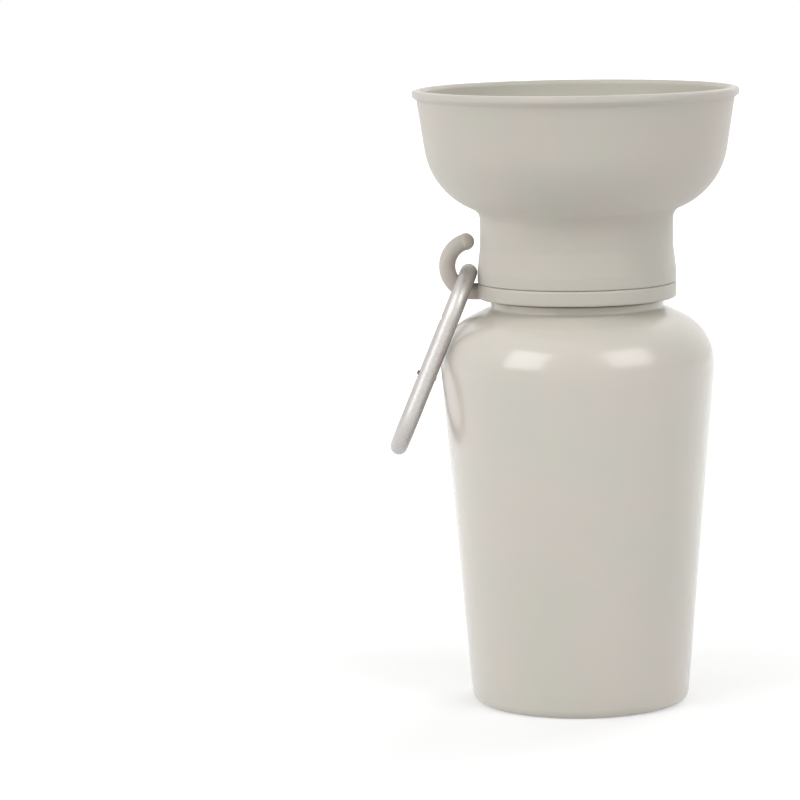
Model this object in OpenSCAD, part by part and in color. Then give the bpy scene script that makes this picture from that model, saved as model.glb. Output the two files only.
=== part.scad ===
// Dog travel water bottle: a squeeze bottle, a screw-on lid with a lift-and-turn valve, and a soft bowl
// on the lid that stands up to drink from and folds down over the shoulder. Millimetres, +Z up. The
// origin is the centre of the bottle's flat base. The clip hook is on the -X side, the front is -Y.

/* [Bottle] */
// Radius of the bottle where its taper reaches the floor
base_r = 31.6; // [28:0.1:36]
// Radius of the bottle at the top of its taper
shoulder_r = 39.85; // [37:0.1:44]
// Height where the taper ends and the shoulder arc starts
shoulder_z = 98; // [70:1:140]
// Radius of the shoulder arc
shoulder_arc = 15.5; // [13:0.5:18]
// Radius of the rounded edge round the base
base_edge = 3; // [1:0.5:6]
// Wall of the squeeze bottle
bottle_wall = 1.6; // [1:0.1:2.2]
// Radius of the bead under the lid, at the foot of the neck
bead_r = 26.1; // [25.6:0.1:26.6]
// Height of that bead above the shoulder
bead_h = 3.6; // [2:0.1:5]

/* [Neck and thread] */
// Outer radius of the threaded neck
neck_r = 23.2; // [22:0.1:23.6]
// Height of the threaded neck above the bead
neck_h = 17.8; // [16:0.1:22]
// Wall of the neck
neck_wall = 1.8; // [1.2:0.1:3]
// Rise of the lid in one turn
lid_pitch = 4; // [3.4:0.1:5]
// How far a thread ridge stands out
thread_h = 1.2; // [0.8:0.1:1.3]
// Height of a thread ridge at its foot
thread_foot = 2.1; // [1.4:0.1:2.4]
// Gap between the crest of a ridge and the wall that it faces
thread_gap = 0.25; // [0.15:0.05:0.4]

/* [Lid] */
// Gap between the bead and the lid's lower edge
lid_gap = 0.5; // [0.3:0.1:1]
// Wall of the lid core's threaded skirt
core_wall = 1.75; // [1.4:0.05:2.2]
// Thickness of the lid core's deck, the floor of the bowl
deck_t = 2.2; // [1.6:0.1:3]
// Thickness of the gasket on the bottle's mouth
gasket_t = 1.5; // [1:0.1:2.5]
// Height of the collar ring with the hook
collar_h = 4.5; // [4:0.1:7]
// Wall of the collar ring
collar_wall = 2.2; // [1.8:0.1:3]
// Bevel round the collar's lower edge
collar_bevel = 1.3; // [0.5:0.1:1.6]

/* [Hook and clip] */
// Thickness of the round hook
hook_d = 4.7; // [3.6:0.1:5]
// Centreline radius of the hook's bend
hook_bend = 7; // [6.9:0.1:8.5]
// Distance from the collar to the middle of the hook's bend
hook_out = 1.65; // [1.2:0.05:2]
// Thickness of the clip's round wire
wire_d = 5; // [4:0.1:5]
// Overall length of the clip
clip_l = 60; // [56:1:80]
// Overall width of the clip
clip_w = 30; // [29:0.5:32]
// Clearance of the clip on the shoulder, past which its gate swings
clip_gap = 0.75; // [0.7:0.05:1.5]
// Length of the clip's hinged gate, from the hinge pin to its free end
gate_l = 17; // [16.5:0.5:18]
// Radius of the gate's hinge pin
hinge_pin_r = 0.75; // [0.6:0.05:0.9]
// Radius of the gate's latch pin
latch_pin_r = 0.6; // [0.4:0.05:0.7]
// Thickness of the flattened tongues at the two ends of the clip's wire
tongue_t = 1.7; // [1.4:0.1:2]

/* [Bowl] */
// Wall of the soft bowl
bowl_wall = 1.6; // [1.2:0.1:2]
// Height of the bowl's cylindrical skirt above the collar
skirt_h = 17.4; // [16:0.1:20]
// Height of the bowl's nearly straight upper side, below its lip
side_h = 13.5; // [8:0.5:25]
// Radius of the bowl outside, below its lip
bowl_r = 45.8; // [44:0.1:52]
// Radius of the round belly between that side and the neck
belly_r = 22; // [19:0.5:24]
// Radius of the hollow round between the belly and the neck
fillet_r = 5; // [3:0.5:7]
// Height of the lip
lip_h = 4; // [3:0.1:6]
// How far the lip stands out from the bowl
lip_out = 1.5; // [1:0.1:2.5]

/* [Valve] */
// Radius of the bore that the valve seals in
seat_r = 7; // [6.4:0.1:8]
// Radius of the valve stem
stem_r = 5; // [4.4:0.1:5.2]
// Rise of the valve for a quarter turn
valve_rise = 4; // [3:0.1:5]
// Radius of the knob's disc
knob_r = 17.6; // [16:0.1:20]
// Thickness of the knob's disc at its edge
knob_t = 2.2; // [1.8:0.1:3]
// Thickness of the pull loop's round section
loop_d = 4.9; // [4:0.1:6]
// Centreline radius of the pull loop's arch
loop_r = 13.6; // [13:0.1:15]
// Height of the straight legs under the arch, from the knob
loop_leg = 3.2; // [2:0.1:8]

/* [Hidden] */
$fn = 96;
eps = 0.01;                       // overlap of solids that are fused, or of a cut past a face
slip = 0.05;                      // clearance of a part that is pushed on and stays there
run = 0.07;                       // clearance of a pin or ring that moves in its hole
soft_gap = 0.3;                   // clearance between curved faces of parts that move past each other

// Bottle
taper = atan((shoulder_r - base_r) / shoulder_z);
arc_c = [shoulder_r - shoulder_arc * cos(taper), shoulder_z + shoulder_arc * sin(taper)];
bead_z = arc_c[1] + sqrt(pow(shoulder_arc, 2) - pow(bead_r - arc_c[0], 2));
bead_top = bead_z + bead_h;
mouth_z = bead_top + neck_h;
thread_crest = thread_foot / 2;
thread_z = bead_top + 4;          // middle of the bottle's ridge where it starts
bottle_turns = 1.5;
lid_turns = 1.25;
ring_step = 7.5;                  // degrees between two rings of a swept ridge

// Lid
lid_z = bead_top + lid_gap;
core_in = neck_r + thread_h + thread_gap;
core_r = core_in + core_wall;
deck_z = mouth_z + gasket_t;
deck_top = deck_z + deck_t;
collar_in = core_r + slip;
collar_r = collar_in + collar_wall;
skirt_z = lid_z + collar_h + slip;
fold_z = skirt_z + skirt_h;
skirt_in = core_r + slip;
skirt_r = skirt_in + bowl_wall;
skirt_foot_r = collar_r;
skirt_foot_h = 3.4;               // height of the straight band at the skirt's foot
skirt_cone_h = 7;                 // height over which the skirt draws in above that band
skirt_bead = 0.8;                 // the skirt's inner bead, which sits in a groove of the core
skirt_bead_h = 1.5;

// Hook, clip and their places
wire_r = wire_d / 2;
hook_r = hook_d / 2;
knuckle_r = hook_r + 0.15;        // stem and ball tip of the hook, a little thicker than its bend
stem_z = lid_z + collar_h - knuckle_r - 0.1;
hook_c = [-(collar_r + hook_out), stem_z + hook_bend];
hook_tip = 105;                   // angle round the bend at which its tip stands
hook_end = 274;                   // the bend runs a little way into the straight stem
clip_x = -(skirt_foot_r + wire_r + soft_gap);
clip_drop = hook_bend - hook_r - wire_r - soft_gap;
clip_z = hook_c[1] - sqrt(pow(clip_drop, 2) - pow(clip_x - hook_c[0], 2));
bow_r = (clip_w - wire_d) / 2;    // centreline radius of the clip's two bows
leg_l = clip_l - wire_d - 2 * bow_r;
rest_angle = 22;                  // about where on the shoulder arc the clip rests
rest_x = shoulder_arc * cos(rest_angle);
lean_reach = -clip_x - (sqrt(pow(arc_c[0] + rest_x, 2) - pow(bow_r, 2)) - rest_x);
lean_drop = clip_z - arc_c[1];
clip_lean = atan2(lean_drop, lean_reach)
    - acos((shoulder_arc + wire_r + clip_gap) / norm([lean_reach, lean_drop]));

// The gate's own frame: hinge pin at the origin, the gate along +Z, the inside of the clip towards +Y
hinge_z = -(bow_r + 6.6);         // hinge pin, in the clip's own frame below its top
nose_gap = 0.5;                   // between the gate's end and the wire's end
heel = 1.6;                       // length of the gate past its hinge pin
heel_gap = 1;
heel_slot = 3;                    // floor of the slot that takes the hinge's tongue
slot_w = tongue_t + 0.4;
nose_slot = 4.5;
latch_y = 0.75;
latch_z = gate_l - 1.8;
tongue_r = 2.2;
cam_z = 1.8;                      // flat end of the hinge's tongue, which the plunger presses
plunger_r = 0.85;
plunger_l = 3;
plunger_gap = 0.1;
spring_wire = 0.35;
spring_turns = 5;
spring_pitch = 1.1;
spring_stroke = 0.55;             // room that the plunger needs as the gate opens
spring_z = cam_z + plunger_gap + plunger_l + spring_stroke + spring_wire / 2;
bore_top = spring_z + spring_turns * spring_pitch + spring_wire / 2 + 0.05;

// Bowl outline: a hollow round out of the skirt, the round belly, then the nearly straight side
side_lean = 8.5;                  // degrees by which the bowl's side leans out
fillet_c = [skirt_r + fillet_r, fold_z];
belly_x = bowl_r - side_h * tan(side_lean) - belly_r * cos(side_lean);
belly_c = [belly_x, fold_z + sqrt(pow(belly_r + fillet_r, 2) - pow(fillet_c[0] - belly_x, 2))];
belly_turn = atan2(fillet_c[1] - belly_c[1], fillet_c[0] - belly_c[0]);
lip_z = belly_c[1] - belly_r * sin(side_lean) + side_h;

// Valve
barrel_wall = 2;
barrel_r = seat_r + barrel_wall;
valve_lead = valve_rise * 4;      // rise in a full turn
seat_h = 10.5;                    // length of the bore that the O-ring seals in, with its mouth
seat_low = deck_top - seat_h;
window_h = 5.5;
window_w = 5;
guide_top = seat_low - window_h - 1;
guide_r = stem_r + 0.25;
pin_r = 1;                        // cross pin of the stem, which rides in two helical ways
way_h = 2 * pin_r + 0.5;
way_end = 14;                     // degrees that the ways run past the pin's two end places
guide_h = valve_rise + way_h + 4;
guide_z = guide_top - guide_h;
pin_z = guide_z + 2 + way_h / 2;
ring_r = 1.1;                     // section of the O-ring
ring_c = seat_r - slip - ring_r;
flange_t = 0.9;                   // flanges of the stem that hold the O-ring
ring_z = deck_top - 6.6;
mouth_cone = 2.6;                 // widening of the seat's mouth, where the water comes out
mouth_cone_h = 5.5;
knob_gap = 0.6;
knob_z = deck_top + knob_gap;
knob_top = knob_z + knob_t;
stem_top = knob_z - slip;
stem_low = guide_z + 0.6;
screw_r = 1.5;
screw_head_r = 3;
screw_head_h = 1.6;
screw_l = 9;
dome_h = 3;
peg_r = 1.4;
peg_h = 1.5;
foot_r = loop_d / 2 + 1.1;
dome_r = loop_r - foot_r - slip;
dome_sphere = (dome_r * dome_r + dome_h * dome_h) / (2 * dome_h);

body_grey = [0.78, 0.765, 0.73];
pale_grey = [0.9, 0.89, 0.87];
silver = [0.78, 0.78, 0.78];

// Points of an arc round c, from angle a0 to a1
function arc(c, r, a0, a1, n = 10) =
    [for (i = [0:n]) let (a = a0 + (a1 - a0) * i / n) [c[0] + r * cos(a), c[1] + r * sin(a)]];

// A closed tube through rings of points, each with the same number of points
module skin(rings) {
    n = len(rings);
    m = len(rings[0]);
    points = [for (ring = rings) each ring];
    sides = [for (i = [0:n - 2], j = [0:m - 1]) let (k = (j + 1) % m)
             each [[i * m + j, i * m + k, (i + 1) * m + k], [i * m + j, (i + 1) * m + k, (i + 1) * m + j]]];
    start = [for (j = [1:m - 2]) [0, j + 1, j]];
    finish = [for (j = [1:m - 2]) [(n - 1) * m, (n - 1) * m + j, (n - 1) * m + j + 1]];
    polyhedron(points, concat(sides, start, finish));
}

// A ridge or way that winds up a cylinder, from radius r0 to r1, where foot and crest are its heights.
// It starts at height z over angle 0 and runs from a0 to a1; its crest fades in and out over fade degrees.
module ridge(r0, r1, foot, crest, z, lead, a0, a1, fade = 20) {
    n = ceil((a1 - a0) / ring_step);
    low = r1 > r0 ? -1 : 1;       // keeps the faces outward on a ridge that stands inward
    skin([for (i = [0:n]) let (a = a0 + (a1 - a0) * i / n)
          let (full = fade == 0 ? 1 : max(0.3, min(1, (a - a0) / fade, (a1 - a) / fade)))
          let (tip = r0 + (r1 - r0) * full, zz = z + lead * a / 360)
          [for (p = [[r0, low * foot / 2], [tip, low * crest / 2], [tip, -low * crest / 2], [r0, -low * foot / 2]])
           [p[0] * cos(a), p[0] * sin(a), zz + p[1]]]]);
}

module ring(r_out, r_in, z0, z1) {
    translate([0, 0, z0]) difference() {
        cylinder(r = r_out, h = z1 - z0);
        translate([0, 0, -eps]) cylinder(r = r_in, h = z1 - z0 + 2 * eps);
    }
}

// Outline of the bottle's outside, pushed in by t all round
function bottle_side(t) = concat(
    arc([base_r + base_edge * tan(taper) - base_edge / cos(taper), base_edge], base_edge - t, -90, -taper, 6),
    arc(arc_c, shoulder_arc - t, -taper, 90 - asin((bead_r - arc_c[0]) / shoulder_arc), 14));

module bottle() {
    throat_r = neck_r - neck_wall;
    inside = bottle_side(bottle_wall);
    color(body_grey) {
        rotate_extrude() polygon(concat(
            [[0, 0]], bottle_side(0),
            [[bead_r, bead_top - 0.6], [bead_r - 0.6, bead_top], [neck_r, bead_top],
             [neck_r, mouth_z - 0.6], [neck_r - 0.6, mouth_z], [throat_r, mouth_z], [throat_r, bead_z]],
            [for (i = [len(inside) - 1:-1:0]) if (inside[i][0] > throat_r) inside[i]],
            [[0, bottle_wall]]));
        ridge(neck_r - 0.3, neck_r + thread_h, thread_foot, thread_crest, thread_z, lid_pitch,
              0, bottle_turns * 360);
    }
}

module lid_gasket() {
    color(pale_grey) ring(core_in - 0.3, neck_r - neck_wall - 0.6, mouth_z, mouth_z + gasket_t);
}

module lid_core() {
    groove_r = core_r - skirt_bead;
    groove_z = skirt_z - slip;
    groove_top = skirt_z + skirt_bead_h + slip;
    color(body_grey) {
        difference() {
            rotate_extrude() polygon([
                [core_in, lid_z], [core_r, lid_z], [core_r, groove_z], [groove_r, groove_z],
                [groove_r, groove_top], [core_r, groove_top], [core_r, deck_top],
                [seat_r + mouth_cone, deck_top], [seat_r, deck_top - mouth_cone_h], [seat_r, guide_top],
                [guide_r, guide_top], [guide_r, guide_z], [barrel_r, guide_z], [barrel_r, deck_z],
                [core_in, deck_z]]);
            for (turn = [0:90:270]) rotate([0, 0, turn + 45])    // windows that let the water in
                translate([seat_r - 1, -window_w / 2, guide_top + 0.5]) cube([barrel_wall + 2, window_w, window_h]);
            for (side = [0, 180]) rotate([0, 0, side])           // helical ways of the stem's pin
                ridge(guide_r - 1, barrel_r + 1, way_h, way_h, pin_z, valve_lead, -way_end, 90 + way_end, 0);
        }
        ridge(core_in + 0.3, core_in - thread_h, thread_foot, thread_crest,
              thread_z - lid_pitch / 2, lid_pitch, 0, lid_turns * 360);
    }
}

module collar() {
    color(body_grey) {
        rotate_extrude() polygon([
            [collar_in, lid_z], [collar_r - collar_bevel, lid_z], [collar_r, lid_z + collar_bevel],
            [collar_r, lid_z + collar_h], [collar_in, lid_z + collar_h]]);
        translate([hook_c[0], 0, stem_z]) rotate([0, 90, 0])
            cylinder(r = knuckle_r, h = -hook_c[0] - collar_in - collar_wall / 3);
        translate([hook_c[0], 0, hook_c[1]]) rotate([90, 0, 0]) rotate([0, 0, hook_tip]) {
            rotate_extrude(angle = hook_end - hook_tip) translate([hook_bend, 0]) circle(r = hook_r);
            translate([hook_bend, 0, 0]) rotate([90, 0, 0]) intersection() {
                sphere(r = knuckle_r);
                translate([0, 0, -knuckle_r]) cylinder(r = hook_d, h = knuckle_r + 0.96 * knuckle_r);
            }
        }
    }
}

// Outline of the bowl's outside from the fold up to the lip, pushed in by t
function bowl_side(t) = concat(
    arc(fillet_c, fillet_r + t, 180, belly_turn + 180, 6),
    arc(belly_c, belly_r - t, belly_turn, -side_lean, 12),
    [[bowl_r - t, lip_z]]);

module bowl() {
    outside = bowl_side(0);
    inside = bowl_side(bowl_wall);
    n = len(inside);
    color(body_grey) rotate_extrude() polygon(concat(
        [[skirt_in - skirt_bead + slip, skirt_z], [skirt_foot_r - 0.4, skirt_z], [skirt_foot_r, skirt_z + 0.4],
         [skirt_foot_r, skirt_z + skirt_foot_h], [skirt_r, skirt_z + skirt_foot_h + skirt_cone_h]],
        outside,
        [for (i = [n - 1:-1:1]) inside[i]],
        [[skirt_in, deck_top + 1.2], [skirt_in - 2, deck_top + 0.6], [skirt_in - 2, deck_top],
         [skirt_in, deck_top], [skirt_in, skirt_z + skirt_bead_h],
         [skirt_in - skirt_bead + slip, skirt_z + skirt_bead_h]]));
}

module bowl_rim() {
    edge = lip_out / 2;
    color(body_grey) rotate_extrude() polygon(concat(
        [[bowl_r - bowl_wall, lip_z]],
        arc([bowl_r + lip_out - edge, lip_z + edge], edge, -90, 0, 4),
        arc([bowl_r + lip_out - edge, lip_z + lip_h - edge], edge, 0, 90, 4),
        arc([bowl_r - bowl_wall + edge, lip_z + lip_h - edge], edge, 90, 180, 4)));
}

module valve_stem() {
    color(pale_grey) difference() {
        union() {
            translate([0, 0, stem_low]) cylinder(r = stem_r, h = stem_top - stem_low);
            for (z = [ring_z - ring_r - flange_t, ring_z + ring_r])
                translate([0, 0, z]) cylinder(r = seat_r - 0.15, h = flange_t);
        }
        translate([0, 0, stem_top - screw_l + screw_head_h]) cylinder(r = screw_r - 0.2, h = screw_l);
        translate([0, 0, ring_z]) rotate_extrude() translate([ring_c, 0]) circle(r = ring_r + slip);
        translate([0, 0, stem_low - 1]) cylinder(r = stem_r - 1.8, h = seat_low - stem_low);
        cross_pin(pin_r, 3 * stem_r, 0, pin_z);
    }
}

module stem_pin() {
    color(silver) cross_pin(pin_r, 2 * (barrel_r - 0.4), 0, pin_z);
}

module stem_o_ring() {
    color([0.25, 0.25, 0.25]) translate([0, 0, ring_z]) rotate_extrude() translate([ring_c, 0]) circle(r = ring_r);
}

module valve_knob() {
    color(body_grey) difference() {
        rotate_extrude() polygon(concat(
            [[0, knob_z], [knob_r - 0.8, knob_z]],
            arc([knob_r - 0.8, knob_z + 0.8], 0.8, -60, 0, 3),
            arc([knob_r - 0.8, knob_top - 0.8], 0.8, 0, 90, 4),
            [[0, knob_top]]));
        translate([0, 0, knob_z - 1]) cylinder(r = screw_r + 0.1, h = knob_t + 2);
        translate([0, 0, knob_top - screw_head_h]) cylinder(r = screw_head_r + 0.2, h = screw_head_h + 1);
        for (side = [-1, 1]) translate([side * loop_r, 0, knob_top - peg_h - 0.1])
            cylinder(r = peg_r + slip, h = peg_h + 1);
    }
}

module knob_screw() {
    color(silver) difference() {
        union() {
            translate([0, 0, knob_top - screw_head_h]) cylinder(r = screw_head_r, h = screw_head_h - 0.2);
            translate([0, 0, stem_top - screw_l + screw_head_h + 0.4])
                cylinder(r = screw_r - 0.25, h = screw_l + knob_t - screw_head_h - 1);
        }
        translate([0, 0, knob_top - 1]) for (turn = [0, 90]) rotate([0, 0, turn])
            translate([-2, -0.35, 0]) cube([4, 0.7, 2]);
    }
}

module dome_cap() {
    color(pale_grey) intersection() {
        translate([0, 0, knob_top + dome_h - dome_sphere]) sphere(r = dome_sphere);
        translate([0, 0, knob_top]) cylinder(r = dome_r, h = dome_h);
    }
}

module pull_loop() {
    color(body_grey) {
        translate([0, 0, knob_top + loop_leg]) rotate([90, 0, 0]) rotate_extrude(angle = 180)
            translate([loop_r, 0]) circle(r = loop_d / 2);
        for (side = [-1, 1]) translate([side * loop_r, 0, 0]) {
            translate([0, 0, knob_top]) cylinder(r1 = foot_r, r2 = loop_d / 2, h = loop_leg - 0.4);
            translate([0, 0, knob_top]) cylinder(r = loop_d / 2, h = loop_leg + eps);
            translate([0, 0, knob_top - peg_h]) cylinder(r = peg_r, h = peg_h + 1);
        }
    }
}

// Places a shape of the clip's own frame: top bow's middle at the origin, the clip hanging down -Z,
// its flat along Y and its gate on the +Y side
module clip_place() {
    translate([clip_x, 0, clip_z]) rotate([0, clip_lean, 0]) children();
}

// Half a turn of the clip's wire round the middle of a bow
module bow(z, a0) {
    translate([0, 0, z]) rotate([90, 0, 90]) rotate([0, 0, a0])
        rotate_extrude(angle = 180) translate([bow_r, 0]) circle(r = wire_r);
}

// Places a shape of the gate's own frame
module gate_place() {
    clip_place() translate([0, bow_r, hinge_z]) rotate([180, 0, 0]) children();
}

module bar(z0, z1, r = wire_r) {
    translate([0, 0, z0]) cylinder(r = r, h = z1 - z0);
}

// A slab of thickness t, centred on the clip's plane
module slab(t, y0, y1, z0, z1) {
    translate([-t / 2, y0, z0]) cube([t, y1 - y0, z1 - z0]);
}

module cross_pin(r, l, y, z) {
    translate([-l / 2, y, z]) rotate([0, 90, 0]) cylinder(r = r, h = l);
}

module carabiner_body() {
    leg_start = hinge_z + bow_r;
    heel_stub = -heel - heel_gap;
    nose_stub = gate_l + nose_gap;
    tongue_low = latch_z - 2;
    latch_hole = latch_pin_r + 0.2;
    color(silver) {
        clip_place() {
            bow(-bow_r, 0);
            bow(-bow_r - leg_l, 180);
            translate([0, -bow_r, -bow_r - leg_l]) bar(0, leg_l);
        }
        gate_place() {
            bar(leg_start, heel_stub);
            bar(nose_stub, leg_start + leg_l);
            difference() {                                   // tongue that carries the hinge pin
                intersection() {
                    union() {
                        cross_pin(tongue_r, tongue_t, 0, 0);
                        slab(tongue_t, -tongue_r, tongue_r, heel_stub - 1, 0);
                    }
                    bar(heel_stub - 1, cam_z);
                }
                cross_pin(hinge_pin_r + 0.02, wire_d, 0, 0);
            }
            difference() {                                   // nose tongue, which catches the latch pin
                intersection() {
                    slab(tongue_t, -wire_r, 1.7, tongue_low, nose_stub + 1);
                    bar(tongue_low, nose_stub + 1);
                }
                cross_pin(latch_hole, wire_d, latch_y, latch_z);
                slab(wire_d, latch_y, wire_r + 1, latch_z - latch_hole, latch_z + latch_hole);
            }
        }
    }
}

module carabiner_gate() {
    color(silver) gate_place() difference() {
        bar(-heel, gate_l);
        slab(slot_w, -wire_d, wire_d, gate_l - nose_slot, gate_l + 1);
        slab(slot_w, -wire_d, wire_d, -wire_d, heel_slot);
        cross_pin(hinge_pin_r + run, wire_d * 2, 0, 0);
        cross_pin(latch_pin_r, wire_d * 2, latch_y, latch_z);
        bar(heel_slot - 0.5, bore_top, plunger_r + 0.1);
    }
}

module gate_hinge_pin() {
    color([0.35, 0.35, 0.35]) gate_place() cross_pin(hinge_pin_r, wire_d - 0.1, 0, 0);
}

module gate_latch_pin() {
    color([0.35, 0.35, 0.35]) gate_place() cross_pin(latch_pin_r, wire_d + 1, latch_y, latch_z);
}

module gate_plunger() {
    tip = cam_z + plunger_gap;
    color(silver) gate_place() bar(tip, tip + plunger_l, plunger_r);
}

// The coil's radius and the least gap between its turns
spring_r = plunger_r + 0.05 - spring_wire / 2;
function coil_point(a) = [spring_r * cos(a), spring_r * sin(a), spring_pitch * a / 360];
echo(spring_least_gap = min([for (a = [0:30:720], b = [a + 300:15:a + 420])
                             norm(coil_point(a) - coil_point(b))]) - spring_wire);

module gate_spring() {
    color(silver) gate_place() translate([0, 0, spring_z])
        skin([for (i = [0:spring_turns * 8])
              let (a = i * 45, lean = atan(spring_pitch / (2 * PI * spring_r)), p = coil_point(a))
              [for (j = [0:5]) let (b = j * 60, u = spring_wire / 2 * cos(b), v = spring_wire / 2 * sin(b))
               p + [u * cos(a) + v * sin(lean) * sin(a), u * sin(a) - v * sin(lean) * cos(a), v * cos(lean)]]]);
}

bottle();
lid_gasket();
lid_core();
collar();
bowl();
bowl_rim();
valve_stem();
stem_pin();
stem_o_ring();
valve_knob();
knob_screw();
dome_cap();
pull_loop();
carabiner_body();
carabiner_gate();
gate_hinge_pin();
gate_latch_pin();
gate_plunger();
gate_spring();
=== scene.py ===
# %% [markdown]
# # A dog's travel water bottle
# The bottle stands open, as in use: a glossy squeeze bottle, a screw-on lid with a hook and a spring clip,
# and a soft bowl on the lid that folds down over the shoulder for travel. The rigid parts come from the
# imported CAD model. This lesson gives them their finishes, models the bowl, the bottle and the collar again
# with smooth surfaces, and lights them as for a catalogue picture on white.

import math

import bpy
from mathutils import Matrix, Vector


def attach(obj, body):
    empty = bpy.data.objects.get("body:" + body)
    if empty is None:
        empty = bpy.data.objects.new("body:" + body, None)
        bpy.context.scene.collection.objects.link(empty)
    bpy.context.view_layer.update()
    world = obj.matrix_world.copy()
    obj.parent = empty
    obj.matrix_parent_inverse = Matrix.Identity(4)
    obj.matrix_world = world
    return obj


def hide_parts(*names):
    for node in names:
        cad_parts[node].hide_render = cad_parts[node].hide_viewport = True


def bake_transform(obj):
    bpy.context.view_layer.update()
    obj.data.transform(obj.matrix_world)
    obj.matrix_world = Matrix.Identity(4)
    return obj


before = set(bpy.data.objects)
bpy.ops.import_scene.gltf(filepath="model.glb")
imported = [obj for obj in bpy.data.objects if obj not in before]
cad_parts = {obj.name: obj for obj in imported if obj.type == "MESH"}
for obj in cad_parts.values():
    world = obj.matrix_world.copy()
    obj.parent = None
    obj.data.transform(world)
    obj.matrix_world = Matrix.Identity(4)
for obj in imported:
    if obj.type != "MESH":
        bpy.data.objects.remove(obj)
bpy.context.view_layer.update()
MM = 0.001

# %% [markdown]
# ## Camera
# A long lens about a metre away, a little above the bowl's rim, fits the outlines in the photograph. The
# bottle stands right of the middle of the picture, so the camera is turned to the left of it, and it is
# rolled by a degree, because the bottle leans a little in the photograph. Nothing is shifted, so that
# every other view stays centred.

# %% Camera
PICTURE_SIDE = 800          # pixels
FOCAL_PIXELS = 3774.6       # focal length, measured in pixels of the picture
SENSOR = 36                 # millimetres
EYE = Vector((0, -1.0935, 0.2365))
PITCH, YAW, ROLL = (math.radians(a) for a in (-7.676, 2.725, -0.905))

lens_data = bpy.data.cameras.new("photo_lens")
lens_data.sensor_width = SENSOR
lens_data.lens = SENSOR * FOCAL_PIXELS / PICTURE_SIDE
lens_data.clip_start = 0.05
lens_data.clip_end = 20
photo_camera = bpy.data.objects.new("photo_camera", lens_data)
bpy.context.scene.collection.objects.link(photo_camera)
photo_camera.matrix_world = (Matrix.Translation(EYE) @ Matrix.Rotation(YAW, 4, "Z")
                             @ Matrix.Rotation(math.pi / 2 + PITCH, 4, "X") @ Matrix.Rotation(ROLL, 4, "Z"))
bpy.context.scene.camera = photo_camera
print(f"lens {lens_data.lens:.1f} mm")

# %% [markdown]
# ## Tools for modelling
# Everything round on this bottle is turned, as on a lathe: half of its section is drawn point by point by
# extruding one vertex, and the section is spun once round the Z axis. The hook and the thread are swept
# from a small section. An operator acts on all that is selected, and the imported parts are selected
# after loading, so everything is deselected first.


# %% Points of a section
def arc(centre, radius, start, end, steps):
    """Points of an arc in the plane of a half section, angles in degrees from the horizontal."""
    angles = (math.radians(start + (end - start) * i / steps) for i in range(steps + 1))
    return [(centre[0] + radius * math.cos(a), centre[1] + radius * math.sin(a)) for a in angles]


def between(start, end, steps):
    """Points from start to end, without these two."""
    return [tuple(a + (b - a) * i / steps for a, b in zip(start, end)) for i in range(1, steps)]


def rounded(corners, radius, steps=4):
    """An open row of corners, with each but the first and last rounded off."""
    out = [corners[0]]
    for before, corner, after in zip(corners, corners[1:], corners[2:]):
        tip = Vector(corner)
        a, b = Vector(before) - tip, Vector(after) - tip
        reach = min(radius / math.tan(a.angle(b) / 2), a.length * 0.45, b.length * 0.45)
        start, end = tip + a.normalized() * reach, tip + b.normalized() * reach
        for i in range(steps + 1):
            t = i / steps
            out.append(tuple(start * (1 - t) ** 2 + tip * 2 * t * (1 - t) + end * t ** 2))
    return out + [corners[-1]]


print("arc of 90 degrees in 2 steps:", arc((0, 0), 1, 0, 90, 2))


# %% Drawing an outline
def select_only(*pieces):
    bpy.ops.object.select_all(action="DESELECT")
    for piece in pieces:
        piece.select_set(True)
    bpy.context.view_layer.objects.active = pieces[0]


def drawn(name, points):
    """An outline through (x, z) points in millimetres, left in edit mode with all of it selected.
    It is closed with an edge, unless it starts and ends on the Z axis."""
    bpy.ops.object.select_all(action="DESELECT")
    bpy.ops.mesh.primitive_plane_add(size=MM, location=(0, 0, 0))
    piece = bpy.context.object
    piece.name = piece.data.name = name
    bpy.ops.object.mode_set(mode="EDIT")
    bpy.ops.mesh.select_mode(type="VERT")
    bpy.ops.mesh.select_all(action="SELECT")
    bpy.ops.mesh.merge(type="CENTER")
    here = (0.0, 0.0)
    for i, point in enumerate(points):
        step = {"value": ((point[0] - here[0]) * MM, 0, (point[1] - here[1]) * MM)}
        if i:
            bpy.ops.mesh.extrude_region_move(TRANSFORM_OT_translate=step)
        else:
            bpy.ops.transform.translate(**step)
        here = point
    if points[0][0] or points[-1][0]:
        bpy.ops.object.mode_set(mode="OBJECT")
        for vertex in piece.data.vertices:
            vertex.select = vertex.index in (0, len(points) - 1)
        bpy.ops.object.mode_set(mode="EDIT")
        bpy.ops.mesh.edge_face_add()
    bpy.ops.mesh.select_all(action="SELECT")
    return piece


print("an outline starts as a plane of", MM, "m, merged into one vertex")


# %% Closing and turning
DOUBLES = 0.002 * MM        # vertices nearer than this are merged


def fill_open_ends():
    """Fills every open end of the mesh in edit mode with one face."""
    bpy.ops.mesh.select_mode(type="EDGE")
    bpy.ops.mesh.select_all(action="DESELECT")
    bpy.ops.mesh.select_non_manifold()
    bpy.ops.mesh.fill_holes(sides=0)


def close_and_smooth(piece, degrees=40):
    """Merges doubles, turns all faces outward and smooths all but the sharp edges."""
    select_only(piece)
    bpy.ops.object.mode_set(mode="EDIT")
    bpy.ops.mesh.select_all(action="SELECT")
    bpy.ops.mesh.remove_doubles(threshold=DOUBLES)
    bpy.ops.mesh.normals_make_consistent(inside=False)
    bpy.ops.object.mode_set(mode="OBJECT")
    bpy.ops.object.shade_smooth_by_angle(angle=math.radians(degrees))
    return piece


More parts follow.
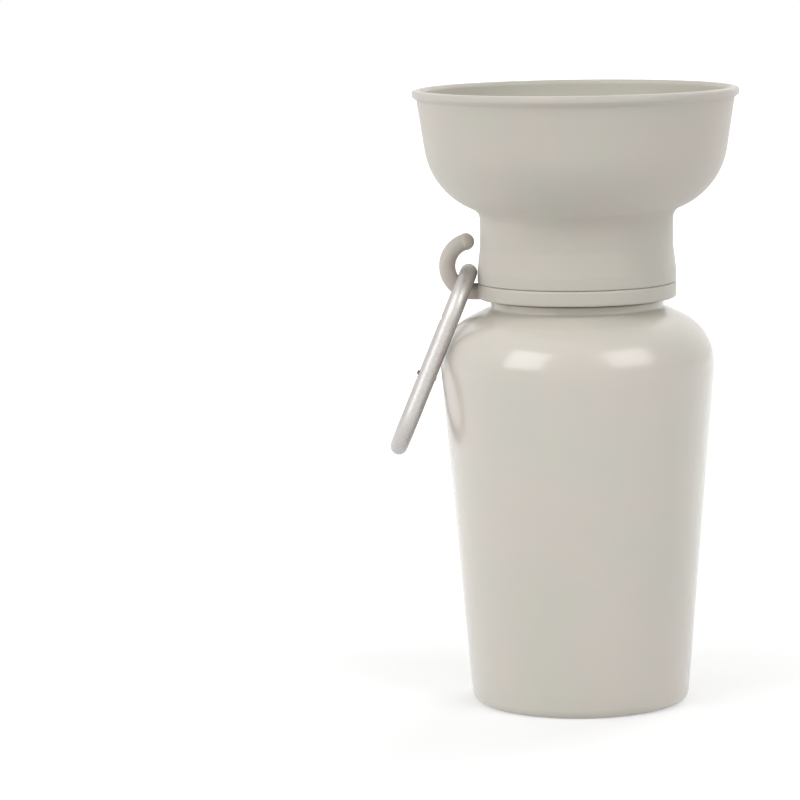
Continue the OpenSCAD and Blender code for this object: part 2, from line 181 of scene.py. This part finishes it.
def turned(name, section, steps=144):
    """Turns a closed half section once round the Z axis."""
    piece = drawn(name, section)
    bpy.ops.mesh.spin(steps=steps, angle=2 * math.pi, center=(0, 0, 0), axis=(0, 0, 1))
    bpy.ops.object.mode_set(mode="OBJECT")
    return close_and_smooth(piece)


print(f"doubles merge within {DOUBLES / MM} mm")

# %% [markdown]
# ## The soft bowl
# Skirt, wall and lip are one silicone moulding. The skirt is stretched over the lid and holds with a small
# inner bead. Above it the wall turns out in a hollow round, swells into a belly and ends in a lip, which is
# undercut below and rolls over at the top. The section has many points up the wall, because the wall has to
# bend when the bowl folds down.

# %% Soft bowl
SKIRT_FOOT, SKIRT_R, SKIRT_BAND_R = 123.357, 28.05, 28.85
SKIRT_BAND_H, SKIRT_CONE_H = 3.4, 7.0       # the straight band at the foot, and the cone above it
LID_R, BEAD_R, BEAD_H = 26.45, 25.7, 1.5    # the lid's side, and the bead that holds under it
WALL = 1.6
HOLLOW, HOLLOW_R = (31.55, 141.749), 3.5
BELLY, BELLY_R, BELLY_LOW, BELLY_HIGH = (22.0241, 165.403), 22.0, -68.06, -8.5
BOWL_R, LIP_FOOT, LIP_TOP, LIP_R = 45.8, 175.652, 179.652, 47.3
DECK, LEDGE_R, LEDGE_TOP = 139.807, 24.45, 140.4     # the lid's top, and the ledge that lies on it
SKIRT_CONE = SKIRT_FOOT + SKIRT_BAND_H

outer_wall = (rounded([(BEAD_R, SKIRT_FOOT), (SKIRT_BAND_R, SKIRT_FOOT), (SKIRT_BAND_R, SKIRT_CONE),
                       (SKIRT_R, SKIRT_CONE + SKIRT_CONE_H), (SKIRT_R, HOLLOW[1])], 0.5)
              + arc(HOLLOW, HOLLOW_R, 180, 180 + BELLY_LOW, 14)[1:]
              + arc(BELLY, BELLY_R, BELLY_LOW, BELLY_HIGH, 36)[1:])
outer_wall += between(outer_wall[-1], (BOWL_R, LIP_FOOT), 12)
lip = rounded([(BOWL_R, LIP_FOOT), (BOWL_R + 0.1, LIP_FOOT + 0.9), (LIP_R, LIP_TOP - 2.2),
               (LIP_R, LIP_TOP - 0.4), (BOWL_R - 0.6, LIP_TOP), (BOWL_R - WALL, LIP_TOP - 1.1),
               (BOWL_R - WALL, LIP_FOOT)], 1.1, 6)
inner_wall = (arc(BELLY, BELLY_R - WALL, BELLY_HIGH, BELLY_LOW, 36)
              + arc(HOLLOW, HOLLOW_R + WALL, 180 + BELLY_LOW, 180, 14)[1:])
inner_wall = between(lip[-1], inner_wall[0], 12) + inner_wall
inner_foot = rounded([(LID_R, LEDGE_TOP + 0.6), (LEDGE_R, LEDGE_TOP), (LEDGE_R, DECK), (LID_R, DECK),
                      (LID_R, SKIRT_FOOT + BEAD_H), (BEAD_R, SKIRT_FOOT + BEAD_H)], 0.25)
soft_bowl = turned("soft_bowl", outer_wall + lip + inner_wall + inner_foot, steps=160)
print("soft bowl:", len(soft_bowl.data.polygons), "faces")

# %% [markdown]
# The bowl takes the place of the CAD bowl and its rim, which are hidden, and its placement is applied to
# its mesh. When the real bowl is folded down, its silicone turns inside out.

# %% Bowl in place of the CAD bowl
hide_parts("bowl", "bowl_rim")
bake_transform(soft_bowl)

# %% [markdown]
# ## The squeeze bottle
# The bottle is blown in one shell, so its wall follows its outside. Its side tapers, its base has a rounded
# edge and a shallow hollow to stand on. The round of the shoulder runs out straight to a short ring under
# the lid, which it joins in a small hollow round. Above the ring stands the threaded neck.

# %% Bottle shell
WIDEST_R, BASE_R, SIDE_H = 39.85, 31.6, 98           # the tapered side, drawn on down to the floor
TAPER = math.degrees(math.atan2(WIDEST_R - BASE_R, SIDE_H))
BASE_EDGE, SHOULDER, SHOULDER_R = (28.842, 3.0), (24.405, 99.3), 15.5     # centres of the two rounds
SHOULDER_END = 64           # degrees round the shoulder, from there it runs straight
RING_R, RING_TOP, NECK_R, THROAT_R, MOUTH = 25.3, 118.307, 23.2, 21.4, 136.107
BASE_RISE = 1.2             # depth of the hollow that the bottle stands over


def bottle_side(inset):
    """The outline from the base's edge to the end of the shoulder's round, pushed in by inset all round."""
    low = arc(BASE_EDGE, BASE_EDGE[1] - inset, -90, -TAPER, 8)
    high = arc(SHOULDER, SHOULDER_R - inset, -TAPER, SHOULDER_END, 34)
    return low + between(low[-1], high[0], 20) + high


round_end = bottle_side(0)[-1]
ring_foot = round_end[1] + (round_end[0] - RING_R) / math.tan(math.radians(SHOULDER_END))
ring = (rounded([round_end, (RING_R, ring_foot), (RING_R, RING_TOP - 1)], 1.0, 6)[1:]
        + rounded([(RING_R, RING_TOP - 0.8), (RING_R, RING_TOP), (NECK_R, RING_TOP)], 0.5))
neck = rounded([ring[-1], (NECK_R, MOUTH), (THROAT_R, MOUTH), (THROAT_R, ring_foot - 1.6)], 0.6)
base_hollow = [(0, BASE_RISE), (20, BASE_RISE), (23.5, 0.9), (25.5, 0)]
squeeze_bottle = turned("squeeze_bottle", base_hollow + bottle_side(0) + ring + neck[1:]
                        + bottle_side(WALL)[::-1] + [(0, WALL + BASE_RISE)], steps=160)
print("squeeze bottle:", len(squeeze_bottle.data.polygons), "faces")

# %% [markdown]
# The lid climbs on one ridge of trapezium section that winds one and a half times round the neck. A small
# section is swept up with the Screw modifier, and the last face at each end is drawn out and shrunk, so
# that the ridge runs out into the neck.

# %% Thread ridge
RIDGE_PITCH, RIDGE_TURNS, RIDGE_Z = 4.0, 1.5, RING_TOP + 4
RIDGE_ROOT, RIDGE_TIP = NECK_R - 0.3, NECK_R + 1.2
ROOT_HALF, TIP_HALF = 1.05, 0.52            # half the ridge's height at its root and at its tip
RIDGE_STEPS = 108
RUN_OUT, RUN_IN, RUN_OUT_SCALE = 4, 0.9, 0.35           # how far an end goes on, goes in and shrinks

ridge_section = rounded([(RIDGE_ROOT, RIDGE_Z - ROOT_HALF), (RIDGE_TIP, RIDGE_Z - TIP_HALF),
                         (RIDGE_TIP, RIDGE_Z + TIP_HALF), (RIDGE_ROOT, RIDGE_Z + ROOT_HALF)], 0.25, 3)
thread_ridge = drawn("thread_ridge", ridge_section)
bpy.ops.object.mode_set(mode="OBJECT")
sweep = thread_ridge.modifiers.new("sweep", "SCREW")
sweep.angle = math.radians(360 * RIDGE_TURNS)
sweep.screw_offset = RIDGE_PITCH * RIDGE_TURNS * MM
sweep.steps = sweep.render_steps = RIDGE_STEPS
select_only(thread_ridge)
bpy.ops.object.modifier_apply(modifier="sweep")
bpy.ops.object.mode_set(mode="EDIT")
fill_open_ends()
bpy.ops.mesh.select_all(action="SELECT")
bpy.ops.mesh.normals_make_consistent(inside=False)
bpy.ops.mesh.select_mode(type="FACE")
for side in (1, -1):          # the ridge starts on the +X side and ends on the -X side
    bpy.ops.mesh.select_all(action="DESELECT")
    bpy.ops.object.mode_set(mode="OBJECT")
    faces = thread_ridge.data.polygons
    end = max((f for f in faces if f.center.x * side > 0), key=lambda f: len(f.vertices))
    run_out = end.normal * RUN_OUT * MM + Vector((-RUN_IN * MM * side, 0, 0))
    end.select = True
    bpy.ops.object.mode_set(mode="EDIT")
    bpy.ops.mesh.extrude_region_move(TRANSFORM_OT_translate={"value": run_out})
    bpy.ops.transform.resize(value=(RUN_OUT_SCALE, RUN_OUT_SCALE, RUN_OUT_SCALE))
bpy.ops.object.mode_set(mode="OBJECT")
close_and_smooth(thread_ridge)
print("thread ridge:", len(thread_ridge.data.polygons), "faces")

# %% Bottle joined
select_only(squeeze_bottle, thread_ridge)
bpy.ops.object.join()
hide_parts("bottle")
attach(squeeze_bottle, "bottle")
print(f"thread: {RIDGE_TURNS} turns of {RIDGE_PITCH} mm")

# %% [markdown]
# ## Collar and hook
# The collar is a plain ring with softly rounded edges. The hook is moulded on: a round rod that leaves the
# collar, bends up in a C and ends in a ball. A circle is extruded along the stem and spun round the bend's
# centre, and a ball slightly thicker than the rod stands on its end.

# %% Collar ring
COLLAR_R, COLLAR_FOOT, COLLAR_TOP = 28.9, 118.807, 123.307
collar_ring = turned("collar_ring", rounded(
    [(LID_R, COLLAR_FOOT + 1), (LID_R, COLLAR_FOOT), (COLLAR_R - 0.1, COLLAR_FOOT),
     (COLLAR_R, COLLAR_TOP), (LID_R, COLLAR_TOP), (LID_R, COLLAR_FOOT + 1.5)], 0.8, 5))
print("collar ring:", len(collar_ring.data.polygons), "faces")

# %% Hook
HOOK_BEND, HOOK_R, HOOK_TIP = (-30.3, 128.1), 2.4, 105     # centre of the bend, the rod, and where it ends
STEM_X, STEM_Z = 1 - COLLAR_R, 120.707                     # the stem starts inside the collar's wall
BEND_R = HOOK_BEND[1] - STEM_Z
BALL_R = HOOK_R + 0.12
bpy.ops.object.select_all(action="DESELECT")
bpy.ops.mesh.primitive_circle_add(vertices=32, radius=HOOK_R * MM, fill_type="NOTHING",
                                  rotation=(0, math.pi / 2, 0), location=(STEM_X * MM, 0, STEM_Z * MM))
hook = bpy.context.object
hook.name = hook.data.name = "hook"
bpy.ops.object.transform_apply(location=True, rotation=True)
bpy.ops.object.mode_set(mode="EDIT")
bpy.ops.mesh.select_all(action="SELECT")
stem = {"value": ((HOOK_BEND[0] - STEM_X) * MM, 0, 0)}
bpy.ops.mesh.extrude_region_move(TRANSFORM_OT_translate=stem)
bpy.ops.mesh.spin(steps=40, angle=math.radians(270 - HOOK_TIP), axis=(0, -1, 0),
                  center=(HOOK_BEND[0] * MM, 0, HOOK_BEND[1] * MM))
fill_open_ends()
bpy.ops.object.mode_set(mode="OBJECT")
tip = math.radians(HOOK_TIP)
tip_place = (HOOK_BEND[0] + BEND_R * math.cos(tip), HOOK_BEND[1] + BEND_R * math.sin(tip))
bpy.ops.object.select_all(action="DESELECT")
bpy.ops.mesh.primitive_uv_sphere_add(segments=32, ring_count=16, radius=BALL_R * MM,
                                     location=(tip_place[0] * MM, 0, tip_place[1] * MM),
                                     rotation=(0, math.pi / 2 - tip, 0))
ball_tip = bpy.context.object
select_only(collar_ring, hook, ball_tip)
bpy.ops.object.join()
collar_and_hook = close_and_smooth(collar_ring)
collar_and_hook.name = collar_and_hook.data.name = "collar_and_hook"
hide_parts("collar")
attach(collar_and_hook, "lid")
print("collar and hook:", len(collar_and_hook.data.polygons), "faces")


# %% [markdown]
# ## Finishes
# Each finish is a Principled shader whose colour, roughness and bump come from procedural patterns on the
# object's own coordinates. Three effects are shared by several finishes and are built once, as node groups:
# the slow drift of hue in moulded plastic, the fine grain of its surface with the patches that handling has
# rubbed smoother, and the streaks of drawn metal wire.


# %% Building blocks
NOISE_RANGE = (0.35, 0.65)  # where most of a noise pattern's values lie


def node_group(name, inputs, outputs):
    """An empty shader group with its sockets, and its input and output nodes."""
    group = bpy.data.node_groups.new(name, "ShaderNodeTree")
    for direction, sockets in (("INPUT", inputs), ("OUTPUT", outputs)):
        for label, kind in sockets.items():
            group.interface.new_socket(label, in_out=direction, socket_type="NodeSocket" + kind)
    return group, group.nodes.new("NodeGroupInput"), group.nodes.new("NodeGroupOutput")


def set_values(node, values):
    """Sets constants on a node's own sockets."""
    for label, value in values.items():
        node.inputs[label].default_value = value


def noise(tree, vector, scale, detail=2):
    """A noise pattern with its scale counted per metre."""
    node = tree.nodes.new("ShaderNodeTexNoise")
    set_values(node, {"Scale": scale, "Detail": detail})
    tree.links.new(vector, node.inputs["Vector"])
    return node.outputs["Fac"]


def mapped(tree, value, from_min, from_max, to_min=0.0, to_max=1.0):
    """A varying value, clamped and mapped from one range onto another."""
    node = tree.nodes.new("ShaderNodeMapRange")
    set_values(node, {"From Min": from_min, "From Max": from_max, "To Min": to_min, "To Max": to_max})
    tree.links.new(value, node.inputs["Value"])
    return node.outputs["Result"]


def mixed_colours(tree, factor, first, second):
    """Mixes two colours, each a socket or four numbers, by a varying factor."""
    node = tree.nodes.new("ShaderNodeMix")
    node.data_type = "RGBA"
    tree.links.new(factor, node.inputs["Factor"])
    for socket, colour in zip((s for s in node.inputs if s.type == "RGBA"), (first, second)):
        if isinstance(colour, bpy.types.NodeSocket):
            tree.links.new(colour, socket)
        else:
            socket.default_value = colour
    return next(s for s in node.outputs if s.type == "RGBA")


print("masks are mapped from noise between", *NOISE_RANGE)

# %% Shared effects
hue_drift, given, made = node_group("hue drift", {"Vector": "Vector", "Cool": "Color", "Warm": "Color"},
                                    {"Colour": "Color"})
slow = mapped(hue_drift, noise(hue_drift, given.outputs["Vector"], 34), *NOISE_RANGE)
hue_drift.links.new(mixed_colours(hue_drift, slow, given.outputs["Cool"], given.outputs["Warm"]),
                    made.inputs["Colour"])

surface_masks = {"Grain": "Float", "Waviness": "Float", "Rubbed": "Float", "Specks": "Float"}
moulded, given, made = node_group("moulded surface", {"Vector": "Vector"}, surface_masks)
place = given.outputs["Vector"]
moulded.links.new(noise(moulded, place, 2600), made.inputs["Grain"])
moulded.links.new(noise(moulded, place, 55, 1), made.inputs["Waviness"])
moulded.links.new(mapped(moulded, noise(moulded, place, 40, 5), *NOISE_RANGE), made.inputs["Rubbed"])
moulded.links.new(mapped(moulded, noise(moulded, place, 900, 1), 0.74, 0.82), made.inputs["Specks"])

ALONG_THE_WIRE = (1, 1, 0.06)  # stretches the streaks along Z
drawn_wire, given, made = node_group("drawn wire", {"Vector": "Vector"},
                                     {"Streaks": "Float", "Pits": "Float"})
along = drawn_wire.nodes.new("ShaderNodeMapping")
set_values(along, {"Scale": ALONG_THE_WIRE})
drawn_wire.links.new(given.outputs["Vector"], along.inputs["Vector"])
drawn_wire.links.new(noise(drawn_wire, along.outputs["Vector"], 3200, 3), made.inputs["Streaks"])
drawn_wire.links.new(noise(drawn_wire, given.outputs["Vector"], 1500, 2), made.inputs["Pits"])
print("groups:", ", ".join(g.name for g in bpy.data.node_groups))

# %% [markdown]
# ### Moulded plastic and silicone
# The bottle is a pale warm grey that drifts a little between a cooler and a warmer hue, and lid and bowl are
# a shade darker. What sets them apart is their gloss: the blown bottle is shiny, with the gentle waves of a
# blown wall, the lid is satin, and the silicone is nearly matt, with a few specks of dust that cling to it.
# Colours are given as they read on the screen.


# %% A moulded finish
def screen_colour(red, green, blue):
    """A screen colour, from 0 to 255, as the linear values that a shader takes."""
    return tuple(((c / 255 + 0.055) / 1.055) ** 2.4 for c in (red, green, blue)) + (1.0,)


DUST = screen_colour(236, 233, 226)
MOULDED_RELIEF = 0.6        # strength of the bumps


def moulded_finish(name, cool, warm, roughness, rubbed, grain=0.02, waves=0.0, dust=0.0, **plain):
    """A moulded finish with its grain and waves as depths in millimetres. The other values, such as coat
    or sheen, are constants of the shader's own sockets."""
    material = bpy.data.materials.new(name)
    material.use_nodes = True
    tree = material.node_tree
    shader = tree.nodes["Principled BSDF"]
    place = tree.nodes.new("ShaderNodeTexCoord").outputs["Object"]
    hue = tree.nodes.new("ShaderNodeGroup")
    hue.node_tree = hue_drift
    set_values(hue, {"Cool": cool, "Warm": warm})
    surface = tree.nodes.new("ShaderNodeGroup")
    surface.node_tree = moulded
    for node in (hue, surface):
        tree.links.new(place, node.inputs["Vector"])
    speckled = mapped(tree, surface.outputs["Specks"], 0, 1, 0, dust)
    dusty = mixed_colours(tree, speckled, hue.outputs["Colour"], DUST)
    tree.links.new(dusty, shader.inputs["Base Color"])
    handled = mapped(tree, surface.outputs["Rubbed"], 0, 1, roughness, rubbed)
    tree.links.new(handled, shader.inputs["Roughness"])
    normal = None
    for label, depth in (("Waviness", waves), ("Grain", grain)):
        relief = tree.nodes.new("ShaderNodeBump")
        set_values(relief, {"Strength": MOULDED_RELIEF, "Distance": depth * MM})
        tree.links.new(surface.outputs[label], relief.inputs["Height"])
        if normal:
            tree.links.new(normal, relief.inputs["Normal"])
        normal = relief.outputs["Normal"]
    tree.links.new(normal, shader.inputs["Normal"])
    set_values(shader, {label.replace("_", " "): value for label, value in plain.items()})
    return material


print("dust colour:", [round(c, 3) for c in DUST[:3]])

# %% Moulded finishes
COOL_GREY, WARM_GREY = screen_colour(203, 201, 190), screen_colour(208, 200, 191)
COOL_SHADE, WARM_SHADE = screen_colour(193, 191, 180), screen_colour(198, 190, 181)     # lid and bowl
# The valve's stem and dome are paler than the lid: partly a paler plastic, partly painted light for the top
# light that the dome's upturned face catches.
COOL_VALVE_AND_PAINTED_LIGHT, WARM_VALVE_AND_PAINTED_LIGHT = screen_colour(228, 226, 218), screen_colour(231, 225, 217)
COOL_SEAL, WARM_SEAL = screen_colour(220, 218, 210), screen_colour(223, 217, 209)
COOL_RUBBER, WARM_RUBBER = screen_colour(50, 50, 50), screen_colour(58, 55, 52)

bottle_gloss = moulded_finish("bottle_gloss_finish", COOL_GREY, WARM_GREY, 0.19, 0.25,
                              grain=0.004, waves=0.12, Coat_Weight=0.4, Coat_Roughness=0.15)
lid_plastic = moulded_finish("lid_plastic_finish", COOL_SHADE, WARM_SHADE, 0.4, 0.5, grain=0.03)
bowl_silicone = moulded_finish("bowl_silicone_finish", COOL_SHADE, WARM_SHADE, 0.52, 0.62,
                               grain=0.04, dust=0.12, Sheen_Weight=0.3)
# The valve's pale colour is partly its own plastic and partly painted top light on the dome.
pale_valve_and_painted_light = moulded_finish("pale_valve_and_painted_light_finish", COOL_VALVE_AND_PAINTED_LIGHT, WARM_VALVE_AND_PAINTED_LIGHT, 0.34, 0.44)
seal_silicone = moulded_finish("seal_silicone_finish", COOL_SEAL, WARM_SEAL, 0.48, 0.6,
                               grain=0.03, dust=0.2)
o_ring_rubber = moulded_finish("o_ring_rubber_finish", COOL_RUBBER, WARM_RUBBER, 0.45, 0.6,
                               grain=0.03, dust=0.1)
print("moulded finishes: bottle, lid, bowl, valve, seal, O-ring")

# %% [markdown]
# ### Metal
# The clip is bent from drawn aluminium wire with a satin surface: fine streaks, small pits that take a
# little of its brightness, and a roughness that changes with the streaks. The streaks run up and down,
# nearly along the clip's two long sides. The pins, the screw, the plunger and the spring are darker steel.


# %% Metal finishes
WIRE_RELIEF = 0.5           # strength of the bumps
STREAK_RANGE = (0.3, 0.7)


def wire_finish(name, bright, dull, smooth, rough, depth):
    """A metal finish with streaks and pits, the depth of the streaks in millimetres."""
    material = bpy.data.materials.new(name)
    material.use_nodes = True
    tree = material.node_tree
    shader = tree.nodes["Principled BSDF"]
    shader.inputs["Metallic"].default_value = 1.0
    wire = tree.nodes.new("ShaderNodeGroup")
    wire.node_tree = drawn_wire
    tree.links.new(tree.nodes.new("ShaderNodeTexCoord").outputs["Object"], wire.inputs["Vector"])
    pitted = mapped(tree, wire.outputs["Pits"], *NOISE_RANGE)
    tree.links.new(mixed_colours(tree, pitted, bright, dull), shader.inputs["Base Color"])
    streaked = mapped(tree, wire.outputs["Streaks"], *STREAK_RANGE, smooth, rough)
    tree.links.new(streaked, shader.inputs["Roughness"])
    relief = tree.nodes.new("ShaderNodeBump")
    set_values(relief, {"Strength": WIRE_RELIEF, "Distance": depth * MM})
    tree.links.new(wire.outputs["Streaks"], relief.inputs["Height"])
    tree.links.new(relief.outputs["Normal"], shader.inputs["Normal"])
    return material


clip_aluminium = wire_finish("clip_aluminium_finish", screen_colour(204, 200, 197),
                             screen_colour(194, 191, 188), 0.42, 0.52, 0.015)
pin_steel = wire_finish("pin_steel_finish", screen_colour(150, 149, 147),
                        screen_colour(128, 127, 125), 0.28, 0.4, 0.01)
print("metal finishes: clip, pins")

# %% [markdown]
# ### Finishes on the pieces
# The pieces that come from the CAD model keep their shape and only get their finish. The three pieces that
# were modelled above get theirs in the same cell.

# %% Finishes on the pieces
finishes = (
    (lid_plastic, ("lid_core", "valve_knob", "pull_loop")),
    (pale_valve_and_painted_light, ("valve_stem", "dome_cap")),
    (seal_silicone, ("lid_gasket",)),
    (o_ring_rubber, ("stem_o_ring",)),
    (clip_aluminium, ("carabiner_body", "carabiner_gate")),
    (pin_steel, ("stem_pin", "knob_screw", "gate_hinge_pin", "gate_latch_pin", "gate_plunger",
                 "gate_spring")),
)
for material, node_names in finishes:
    for node_name in node_names:
        for material_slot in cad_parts[node_name].material_slots:
            material_slot.material = material
soft_bowl.data.materials.append(bowl_silicone)
squeeze_bottle.data.materials.append(bottle_gloss)
collar_and_hook.data.materials.append(lid_plastic)
print("finished nodes:", sum(len(node_names) for material, node_names in finishes))

# %% [markdown]
# ## Light
# Two soft boxes stand left and right in front, raised by some thirty degrees, and give the two soft
# highlights on the shoulder. A third lamp, about twice as steep, lights the shoulder and leaves the underside
# of the bowl and the neck in shade. The sides of the bottle are brighter than its front, so broad light also
# comes from the left and from behind. Of the lamps, gloss shows only the two soft boxes, because the others
# stand for light that the white room sends back.

# %% Lamps
# azimuth (0 is the camera's side) and elevation in degrees, distance, width and height in metres, watts,
# and whether gloss shows the lamp
LAMPS = {
    "front_box_left": (-48, 31, 1.5, 0.87, 0.92, 9.0, True),
    "front_box_right": (48, 34, 1.5, 1.0, 0.86, 9.0, True),
    "high_front": (0, 64, 1.5, 1.4, 0.7, 6.8, False),
    "side_left": (-95, 12, 1.2, 0.8, 1.2, 5.0, False),
    "back_left": (-150, 25, 1.2, 0.8, 1.0, 3.5, False),
    "back_right": (150, 25, 1.2, 0.8, 1.0, 10.5, False),
}
LAMP_AIM = Vector((0, 0, 0.09))


def soft_box(name, azimuth, elevation, distance, width, height, watts, in_gloss):
    """An area lamp aimed at the middle of the bottle."""
    a, e = math.radians(azimuth), math.radians(elevation)
    away = Vector((math.sin(a) * math.cos(e), -math.cos(a) * math.cos(e), math.sin(e)))
    lamp_data = bpy.data.lights.new(name, "AREA")
    lamp_data.shape = "RECTANGLE"
    lamp_data.size = width
    lamp_data.size_y = height
    lamp_data.energy = watts
    lamp = bpy.data.objects.new(name, lamp_data)
    bpy.context.scene.collection.objects.link(lamp)
    lamp.location = LAMP_AIM + away * distance
    lamp.rotation_euler = (-away).to_track_quat("-Z", "Y").to_euler()
    lamp.visible_glossy = in_gloss


for lamp_name, settings in LAMPS.items():
    soft_box(lamp_name, *settings)
print("lamps:", len(LAMPS))

# %% [markdown]
# ## Background and floor
# The background is white. It is bright where it is seen and dim as a light, so that the lamps shape the
# bottle. The floor is white paper with a glow that shows to the camera and in gloss and gives no other
# light. The glow is weaker near the foot, where a faint soft shadow stays, and further off the floor merges
# with the background.


# %% World
FILL = 0.02                 # strength of the background as a light


def seen_directly(tree):
    """1 for rays that show what they meet: from the camera, in gloss and through glass."""
    path = tree.nodes.new("ShaderNodeLightPath")
    value = path.outputs["Is Camera Ray"]
    for label in ("Is Glossy Ray", "Is Transmission Ray"):
        add = tree.nodes.new("ShaderNodeMath")
        add.operation = "ADD"
        add.use_clamp = True
        tree.links.new(value, add.inputs[0])
        tree.links.new(path.outputs[label], add.inputs[1])
        value = add.outputs[0]
    return value


world = bpy.data.worlds.new("white_studio")
bpy.context.scene.world = world
world.use_nodes = True
world_tree = world.node_tree
sky = world_tree.nodes["Background"]
set_values(sky, {"Color": (1, 1, 1, 1)})
world_tree.links.new(mapped(world_tree, seen_directly(world_tree), 0, 1, FILL, 1), sky.inputs["Strength"])
bpy.context.scene.view_settings.view_transform = "Standard"
print("background as a light:", FILL)

# %% Floor
FLOOR_SIDE = 8              # metres
PAPER_GREY = (0.8, 0.8, 0.8, 1)
PAPER_GLOW = 1.3
SHADE_NEAR, SHADE_FAR, SHADE_GLOW = 0.04, 0.4, 0.35     # metres, metres, and the share of glow at the foot

bpy.ops.object.select_all(action="DESELECT")
bpy.ops.mesh.primitive_plane_add(size=FLOOR_SIDE, location=(0, 0, 0))
floor = bpy.context.object
floor.name = "studio_floor"
paper = bpy.data.materials.new("white_paper")
paper.use_nodes = True
paper_tree = paper.node_tree
paper_shader = paper_tree.nodes["Principled BSDF"]
set_values(paper_shader, {"Base Color": PAPER_GREY, "Roughness": 0.9})
glow = paper_tree.nodes.new("ShaderNodeEmission")
set_values(glow, {"Strength": PAPER_GLOW})
from_bottle = paper_tree.nodes.new("ShaderNodeVectorMath")
from_bottle.operation = "LENGTH"
paper_tree.links.new(paper_tree.nodes.new("ShaderNodeTexCoord").outputs["Object"], from_bottle.inputs[0])
brighter = mapped(paper_tree, from_bottle.outputs["Value"], SHADE_NEAR, SHADE_FAR, SHADE_GLOW, 1)
glow_share = paper_tree.nodes.new("ShaderNodeMath")
glow_share.operation = "MULTIPLY"
paper_tree.links.new(seen_directly(paper_tree), glow_share.inputs[0])
paper_tree.links.new(brighter, glow_share.inputs[1])
paper_mix = paper_tree.nodes.new("ShaderNodeMixShader")
paper_tree.links.new(glow_share.outputs[0], paper_mix.inputs["Fac"])
paper_tree.links.new(paper_shader.outputs["BSDF"], paper_mix.inputs[1])
paper_tree.links.new(glow.outputs["Emission"], paper_mix.inputs[2])
paper_tree.links.new(paper_mix.outputs["Shader"], paper_tree.nodes["Material Output"].inputs["Surface"])
floor.data.materials.append(paper)
print(f"floor: its glow grows from {SHADE_NEAR} m to {SHADE_FAR} m from the middle")
